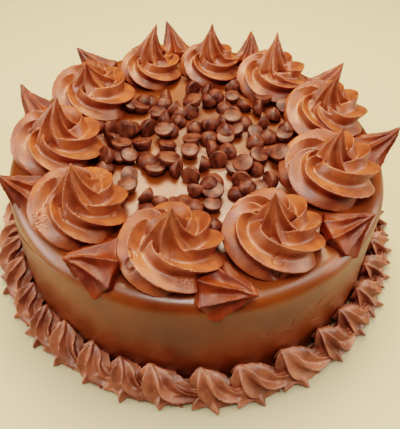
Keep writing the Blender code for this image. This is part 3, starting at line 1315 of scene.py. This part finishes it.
@dataclass
class ShellBorder:
    """The piped border round the foot: a row of shells, each one on the tail of the one before it.

    A shell stands at the origin, x outwards and y round the cake. Its head curls up from its tail, a
    belt of icing runs through to the next one, and its foot spreads outwards in teeth.

    Attributes:
        shown_deg: angles of the shells that the photograph shows.
        step_deg: usual step of the rest.
        ring_mm: distance of a shell's foot from the cake's axis.
        kinds: number of different shells.
        runs: number of pieces that the border is made in.
        voxel_mm: fineness of the skin.
        tail_mm: where the head's rope starts.
        peak_mm: where it ends.
        bow_mm: how far its middle stands off the straight line.
        head_mm: its radius along its length.
        head_turn: how far it turns, in radians.
        belt_mm: the belt's radius along its length.
        foot_mm: the foot's radius along its length.
        foot_stretch: how much longer the foot is round the cake than across.
        foot_y_mm: where the foot starts along the ring.
        ragged: strength of the tears along the lips.
    """

    shown_deg: tuple[float, ...] = (
        -169.2, -161.2, -152.5, -142.5, -133.5, -124.8, -114.6, -105.1, -95.0, -82.8, -71.5, -59.0, -46.8,
        -37.0, -27.6, -17.3, -8.0,
    )
    step_deg: float = 10.4
    ring_mm: float = 111.0
    kinds: int = 5
    runs: int = 4
    voxel_mm: float = 0.6
    tail_mm: tuple[float, ...] = (3.4, 14.0, 4.0)
    peak_mm: tuple[float, ...] = (-5.4, -8.6, 17.0)
    bow_mm: tuple[float, ...] = (2.2, -4.8, -3.2)
    head_mm: Places = ((0.0, 3.0), (0.12, 5.4), (0.3, 8.2), (0.5, 9.6), (0.7, 9.2), (0.86, 6.8), (1.0, 1.3))
    head_turn: float = 0.9
    belt_mm: Places = ((0.0, 5.6), (0.3, 7.4), (0.7, 7.4), (1.0, 5.6))
    foot_mm: Places = ((0.0, 11.4), (0.25, 10.8), (0.6, 9.0), (1.0, 4.0))
    foot_stretch: float = 1.3
    foot_y_mm: float = -4.0
    ragged: float = 0.02

    def head(self, draw: np.random.Generator, seed: int) -> Mesh:
        """Pipes the rope that curls up from the tail to the peak.

        Args:
            draw: source of the random numbers.
            seed: seed of its unevenness.

        Returns:
            Its points in mm and its faces.
        """
        t = np.linspace(0.0, 1.0, 90)
        tail = np.array(self.tail_mm)
        peak = np.array(self.peak_mm) + draw.uniform(-0.8, 0.8, 3)
        bow = np.array(self.bow_mm) * draw.uniform(0.85, 1.15)
        path = tail + (peak - tail) * t[:, None] + bow * (4.0 * t * (1.0 - t))[:, None]
        thick = on_table(t, self.head_mm) * draw.uniform(0.96, 1.04)
        thick = eased_path(thick[:, None], 6)[:, 0]
        twist = np.full(len(t), 0.1 + draw.uniform(-0.15, 0.15)) - self.head_turn * t
        return Rope(SHELL_TIP, path, thick, twist, seed, columns=112, ragged=self.ragged).mesh()

    def belt(self, seed: int) -> Mesh:
        """Pipes the rope that runs through to the next shell.

        Args:
            seed: seed of its unevenness.

        Returns:
            Its points in mm and its faces.
        """
        s = np.linspace(0.0, 1.0, 40)
        path = np.stack([0.2 + 1.8 * np.sin(np.pi * s), 10.0 - 25.0 * s, np.full(len(s), 3.0)], 1)
        return Rope(SHELL_TIP, path, on_table(s, self.belt_mm), np.full(len(s), 0.1), seed).mesh()

    def foot(self, draw: np.random.Generator, seed: int) -> Mesh:
        """Pipes the short wide rope whose lips are the teeth at the foot.

        Args:
            draw: source of the random numbers.
            seed: seed of its unevenness.

        Returns:
            Its points in mm and its faces.
        """
        s = np.linspace(0.0, 1.0, 40)
        path = np.stack([2.6 - 1.6 * s, self.foot_y_mm + 1.5 * s, -0.6 + 6.0 * s], 1)
        thick = on_table(s, self.foot_mm) * draw.uniform(0.94, 1.06)
        twist = np.full(len(s), draw.uniform(0.0, 0.9)) + 0.3 * s
        points, faces = Rope(FOOT_TIP, path, thick, twist, seed, ragged=self.ragged).mesh()
        points[:, 1] = self.foot_y_mm + (points[:, 1] - self.foot_y_mm) * self.foot_stretch
        return points, faces

    def shell(self, kind: int) -> Any:
        """Makes one shell of a head, a belt and a foot.

        Args:
            kind: number of the shell's kind.

        Returns:
            The shell, at the origin.
        """
        draw = np.random.default_rng(300 + kind)
        parts = [self.head(draw, 400 + kind), self.belt(600 + kind), self.foot(draw, 500 + kind)]
        points, faces = join_meshes(parts)
        points[:, 2] = np.maximum(points[:, 2], 0.1)
        return piece_from(f"shell_kind_{kind}", points * MM, faces)

    def angles(self) -> list[float]:
        """Works out where the shells stand.

        Returns:
            Every shell's angle in degrees.
        """
        first = self.shown_deg[0] + 360.0
        last = self.shown_deg[-1]
        rest = round((first - last) / self.step_deg)
        step = (first - last) / rest
        return list(self.shown_deg) + [last + step * i for i in range(1, rest)]

    def run(self, number: int, angles: list[float], steps: list[float], shelf: Any, material: Any) -> Any:
        """Pipes one run of shells into one closed skin.

        Args:
            number: the run's number.
            angles: the shells' angles in degrees.
            steps: the angle from each of them to the next one.
            shelf: collection of the different shells.
            material: the border's finish.

        Returns:
            The run as one piece.
        """
        draw = random.Random(77 + number)
        positions, turns, sizes, kinds = [], [], [], []
        for angle, gap in zip(angles, steps):
            positions.append(round_place(self.ring_mm + draw.uniform(-0.5, 0.5), angle, 0.0))
            turns.append((0.0, 0.0, math.radians(angle) + math.radians(draw.uniform(-5.0, 5.0))))
            sizes.append((1.0, gap / self.step_deg, draw.uniform(0.93, 1.05)))
            kinds.append(draw.randrange(self.kinds))
        obj = piece_from(f"border_shells_{number + 1}", np.array(positions) * MM, [])
        carried = {"turn": turns, "size": sizes, "kind": kinds}
        Scatter("set_shells", several=True).apply(obj, shelf, material, carried)
        self.stand(obj)
        skin(obj, self.voxel_mm)
        self.stand(obj)
        return dress(obj, material, "buttercream", "shell_border")

    def stand(self, obj: Any) -> None:
        """Lifts every point of a piece that lies under the floor up to it."""
        for vert in obj.data.vertices:
            vert.co.z = max(vert.co.z, 0.0)

    def build(self, material: Any) -> None:
        """Pipes the border, run by run.

        Args:
            material: its finish.
        """
        kinds = [self.shell(kind) for kind in range(self.kinds)]
        shelf = bpy.data.collections.new("shell_kinds")
        bpy.context.scene.collection.children.link(shelf)
        for kind in kinds:
            bpy.context.scene.collection.objects.unlink(kind)
            shelf.objects.link(kind)
        angles = self.angles()
        steps = [(angles[(i + 1) % len(angles)] - angle) % 360.0 for i, angle in enumerate(angles)]
        length = math.ceil(len(angles) / self.runs)
        for number in range(self.runs):
            part = slice(number * length, (number + 1) * length)
            self.run(number, angles[part], steps[part], shelf, material)
        for kind in kinds:
            bpy.data.objects.remove(kind)
        bpy.data.collections.remove(shelf)


@dataclass(frozen=True)
class PhotoCamera:
    """The photograph's viewpoint, found by fitting a pinhole to the cake.

    Attributes:
        target_mm: point at the middle of the picture.
        distance_mm: distance of the lens from it.
        pitch_deg: how far the lens looks down.
        roll_deg: turn about the line of sight.
        focal_px: focal length in pixels of the picture.
        long_side_px: the picture's long side in pixels.
        sensor_mm: width of the camera's sensor.
        near_m: nearest distance that it sees.
        far_m: farthest distance that it sees.
    """

    target_mm: tuple[float, float, float] = (2.5, -26.9, 42.0)
    distance_mm: float = 305.4
    pitch_deg: float = 49.6
    roll_deg: float = 1.7
    focal_px: float = 550.0
    long_side_px: float = 429.0
    sensor_mm: float = 36.0
    near_m: float = 0.01
    far_m: float = 20.0

    def build(self) -> Any:
        """Makes the camera and gives it to the scene.

        Returns:
            The camera.
        """
        pitch = math.radians(self.pitch_deg)
        roll = math.radians(self.roll_deg)
        ahead = Vector((0.0, math.cos(pitch), -math.sin(pitch)))
        level = Vector((1.0, 0.0, 0.0))
        up = level.cross(ahead)
        right = level * math.cos(roll) + up * math.sin(roll)
        above = up * math.cos(roll) - level * math.sin(roll)
        data = bpy.data.cameras.new("photo_camera")
        data.sensor_width = self.sensor_mm
        data.sensor_fit = "AUTO"
        data.lens = self.focal_px * self.sensor_mm / self.long_side_px
        data.clip_start = self.near_m
        data.clip_end = self.far_m
        camera = bpy.data.objects.new("photo_camera", data)
        turn = Matrix((right, above, -ahead)).transposed().to_4x4()
        place = Vector(self.target_mm) * MM - ahead * self.distance_mm * MM
        camera.matrix_world = Matrix.Translation(place) @ turn
        bpy.context.scene.collection.objects.link(camera)
        bpy.context.scene.camera = camera
        return camera


@dataclass(frozen=True)
class Lamp:
    """A square softbox.

    Attributes:
        name: the lamp's name.
        place: its position in metres.
        aim: the point that it faces.
        watts: its power.
        size: its side in metres.
        tint: sRGB hex of its light.
    """

    name: str
    place: tuple[float, float, float]
    aim: tuple[float, float, float]
    watts: float
    size: float
    tint: str

    def build(self) -> None:
        """Adds the lamp."""
        data = bpy.data.lights.new(self.name, "AREA")
        data.energy = self.watts
        data.size = self.size
        data.color = linear(self.tint)[:3]
        lamp = bpy.data.objects.new(self.name, data)
        lamp.location = self.place
        way = Vector(self.aim) - Vector(self.place)
        lamp.rotation_euler = way.to_track_quat("-Z", "Y").to_euler()
        bpy.context.scene.collection.objects.link(lamp)


@dataclass(frozen=True)
class Studio:
    """The floor, the softboxes and the room's light.

    Attributes:
        room_hex: sRGB hex of the room's light.
        room_strength: its strength.
        floor_half: half of the floor's side in metres.
        floor_drop: how far it lies under the cake, in metres.
        floor_roughness: its roughness.
        exposure: the camera's exposure, in stops.
        gamma: below 1, the steeper contrast of a phone camera's picture.
        lamps: the softboxes.
    """

    room_hex: str = "e6e8ea"
    room_strength: float = 0.05
    floor_half: float = 3.0
    floor_drop: float = 0.0004
    floor_roughness: float = 0.8
    exposure: float = 1.06
    gamma: float = 0.56
    lamps: tuple[Lamp, ...] = (
        Lamp("ceiling_panel", (0.0, 0.1, 0.90), (0.0, 0.0, 0.0), 3.4, 1.0, "fffaf4"),
        Lamp("back_window", (0.02, 0.25, 0.58), (0.0, 0.0, 0.05), 9.0, 0.30, "ffe6c8"),
        Lamp("ceiling_lamp", (0.0, -0.25, 0.62), (0.0, 0.0, 0.0), 3.5, 0.17, "fffaf4"),
        Lamp("ceiling_lamp_right", (0.46, -0.08, 0.62), (0.0, 0.0, 0.0), 2.2, 0.28, "fffaf4"),
        Lamp("ceiling_lamp_left", (-0.46, -0.08, 0.62), (0.0, 0.0, 0.0), 2.0, 0.28, "fffaf4"),
        Lamp("left_fill", (-0.70, -0.10, 0.28), (0.0, 0.0, 0.04), 6.1, 0.45, "fff8f0"),
        Lamp("right_fill", (0.70, 0.0, 0.28), (0.0, 0.0, 0.04), 4.7, 0.45, "fff8f0"),
    )

    def build(self) -> None:
        """Adds the floor, the lamps and the room's light."""
        world = bpy.data.worlds.new("studio_room")
        world.use_nodes = True
        back = world.node_tree.nodes["Background"]
        back.inputs["Color"].default_value = linear(self.room_hex)
        back.inputs["Strength"].default_value = self.room_strength
        bpy.context.scene.world = world
        for lamp in self.lamps:
            lamp.build()
        tone = bpy.context.scene.view_settings
        tone.view_transform = "Filmic"
        tone.exposure = self.exposure
        tone.gamma = self.gamma
        signs = ((-1, -1), (1, -1), (1, 1), (-1, 1))
        corners = [[x * self.floor_half, y * self.floor_half, -self.floor_drop] for x, y in signs]
        floor = piece_from("studio_floor", np.array(corners), [(0, 1, 2, 3)])
        paint = bpy.data.materials.new("matt_floor")
        paint.use_nodes = True
        shader = paint.node_tree.nodes["Principled BSDF"]
        shader.inputs["Base Color"].default_value = linear(STAGE_HEX)
        shader.inputs["Roughness"].default_value = self.floor_roughness
        floor.data.materials.append(paint)


# Each swirl: (angle, distance, radius, peak, (lean out, lean left), start of the ring, turns, side
# where the flutes crowd, share of the radius that the peak takes), in mm and degrees
SWIRLS = (
    (-98.1, 74.8, 26.0, 36.5, (0.8, 1.6), -200.0, 1.02, 20.0, 0.60),
    (-59.9, 73.6, 26.0, 35.5, (-1.3, -2.0), -160.0, 1.05, 40.0, 0.50),
    (-16.3, 71.8, 27.0, 36.0, (1.6, 1.8), -120.0, 1.05, 60.0, 0.46),
    (20.4, 77.6, 25.0, 34.0, (0.5, -4.0), -60.0, 1.02, 90.0, 0.50),
    (53.7, 74.8, 22.8, 35.0, (3.5, 2.2), 0.0, 1.05, 120.0, 0.50),
    (85.1, 73.4, 19.8, 33.0, (2.0, 0.0), 40.0, 1.05, 150.0, 0.52),
    (114.3, 74.7, 19.8, 34.0, (0.8, -5.4), 90.0, 1.05, 180.0, 0.54),
    (148.5, 73.2, 25.0, 31.5, (-2.5, 4.6), 120.0, 1.05, 200.0, 0.56),
    (-176.1, 75.2, 26.0, 36.0, (-4.5, -1.8), 160.0, 1.05, 240.0, 0.54),
    (-138.5, 75.6, 25.6, 35.5, (-1.0, -0.2), 180.0, 1.10, 300.0, 0.60),
)
# Each star: (foot, tip), both as (distance, angle, height), (radius, (bend left, bend up)), in mm and degrees
STARS = (
    ((91.0, -82.5, 62.8), (102.0, -73.4, 76.0), 16.4, (-1.5, -1.0)),
    ((91.0, -38.8, 64.0), (100.5, -32.1, 78.0), 14.5, (-1.0, 0.5)),
    ((93.0, 1.0, 64.0), (110.0, 3.2, 79.0), 14.0, (0.5, 1.5)),
    ((92.0, 37.0, 64.0), (111.0, 37.5, 78.0), 13.5, (0.0, 1.0)),
    ((91.0, 70.0, 64.0), (105.0, 71.8, 79.0), 12.5, (0.5, 0.5)),
    ((92.0, 100.0, 64.0), (109.0, 102.0, 79.5), 13.0, (0.8, 1.5)),
    ((92.0, 132.0, 64.0), (107.0, 136.0, 79.0), 13.5, (0.5, 1.0)),
    ((92.5, 165.0, 64.0), (109.0, 162.0, 79.0), 14.0, (-1.5, 1.5)),
    ((92.0, -157.0, 64.0), (104.6, -158.8, 78.5), 14.0, (-0.5, 1.0)),
    ((90.2, -118.0, 63.4), (100.5, -125.6, 75.0), 17.6, (1.0, 0.0)),
)
# Seeds of the first swirl and of the first star
SWIRL_SEED = 11
STAR_SEED = 31
# The solids' swirls, which the chips keep clear of: (angle in degrees, distance, radius), in mm
SWIRL_LAYOUT = (
    (-98.1, 74.2, 23.4), (-59.9, 72.8, 24.2), (-16.3, 71.4, 24.6), (20.4, 77.2, 22.2), (53.7, 74.4, 20.7),
    (85.1, 72.8, 18.4), (114.3, 74.1, 18.3), (148.5, 72.7, 21.9), (-176.1, 74.7, 22.5), (-138.5, 74.7, 24.0),
)
# The ridge and the scratches of the wall: (radius in mm, (angle in degrees, height in mm) of each point)
WALL_LINES = (
    (0.55, (
        (-163.0, 47.5), (-156.0, 48.9), (-151.0, 50.5), (-145.0, 54.5), (-138.7, 58.4), (-133.0, 60.2),
        (-126.0, 61.0),
    )),
    (0.22, ((-71.8, 37.4), (-69.4, 34.6), (-68.7, 37.2))),
    (0.20, ((-69.1, 33.8), (-67.6, 33.2), (-65.9, 35.4), (-63.2, 35.2), (-61.4, 32.3))),
    (0.20, ((-56.9, 44.3), (-54.6, 36.3), (-51.4, 37.7))),
    (0.18, ((-54.8, 41.1), (-53.6, 43.7), (-51.5, 48.0))),
    (0.18, ((-54.6, 29.4), (-50.7, 26.0))),
    (0.18, ((-47.2, 30.6), (-45.3, 30.4))),
    (0.18, ((-61.6, 35.0), (-61.5, 42.1), (-58.4, 36.4), (-56.6, 31.7))),
)
# Flaws that the photograph shows on the nearest swirls, at their places on the cake in mm
MARKS = {
    "swirl_01": (
        Mark(MarkKind.BUBBLE, -27.6, -85.0, 3.6, 1.0),
        Mark(MarkKind.PIT, -28.5, -58.8, 1.3, 0.9),
        Mark(MarkKind.PIT, -25.0, -56.8, 1.1, 0.8),
        Mark(MarkKind.SMEAR, -3.0, -93.0, 5.0, 0.7),
    ),
    "swirl_02": (
        Mark(MarkKind.BUBBLE, 37.4, -82.9, 3.0, 0.9),
        Mark(MarkKind.SMEAR, 58.0, -62.0, 6.0, 0.8),
    ),
    "swirl_10": (
        Mark(MarkKind.PIT, -38.2, -57.5, 1.6, 1.0),
        Mark(MarkKind.SMEAR, -71.0, -64.0, 6.0, 0.7),
        Mark(MarkKind.SMEAR, -44.0, -34.0, 5.0, 0.7),
    ),
}


def main() -> None:
    """Builds every piece in order and reports it."""
    logging.basicConfig(level=logging.INFO, format="%(name)s: %(message)s")
    PhotoCamera().build()
    Studio().build()
    cream = BUTTERCREAM.material()
    coat = GANACHE.material()
    body = CoatedBody()
    body.build(coat)
    WallFlaws(body=body, lines=WALL_LINES).build(coat)
    ring = [
        (r * math.cos(math.radians(a)), r * math.sin(math.radians(a)), size) for a, r, size in SWIRL_LAYOUT
    ]
    ChipField(swirls=ring).build(CHIP_CHOCOLATE.material())
    for number, row in enumerate(SWIRLS):
        PipedSwirl(f"swirl_{number + 1:02d}", *row, seed=SWIRL_SEED + number).build(cream)
    # The stars' buttercream carries painted shade: darker and redder tones than the swirls'
    shaded_star_cream = SHADED_STAR_CREAM.material()
    for number, row in enumerate(STARS):
        PipedStar(f"star_{number + 1:02d}", *row, seed=STAR_SEED + number).build(shaded_star_cream)
    # The border's buttercream carries painted light: paler tones for the light bounced up onto the foot
    ShellBorder().build(LIT_BORDER_CREAM.material())


if __name__ == "__main__":
    main()
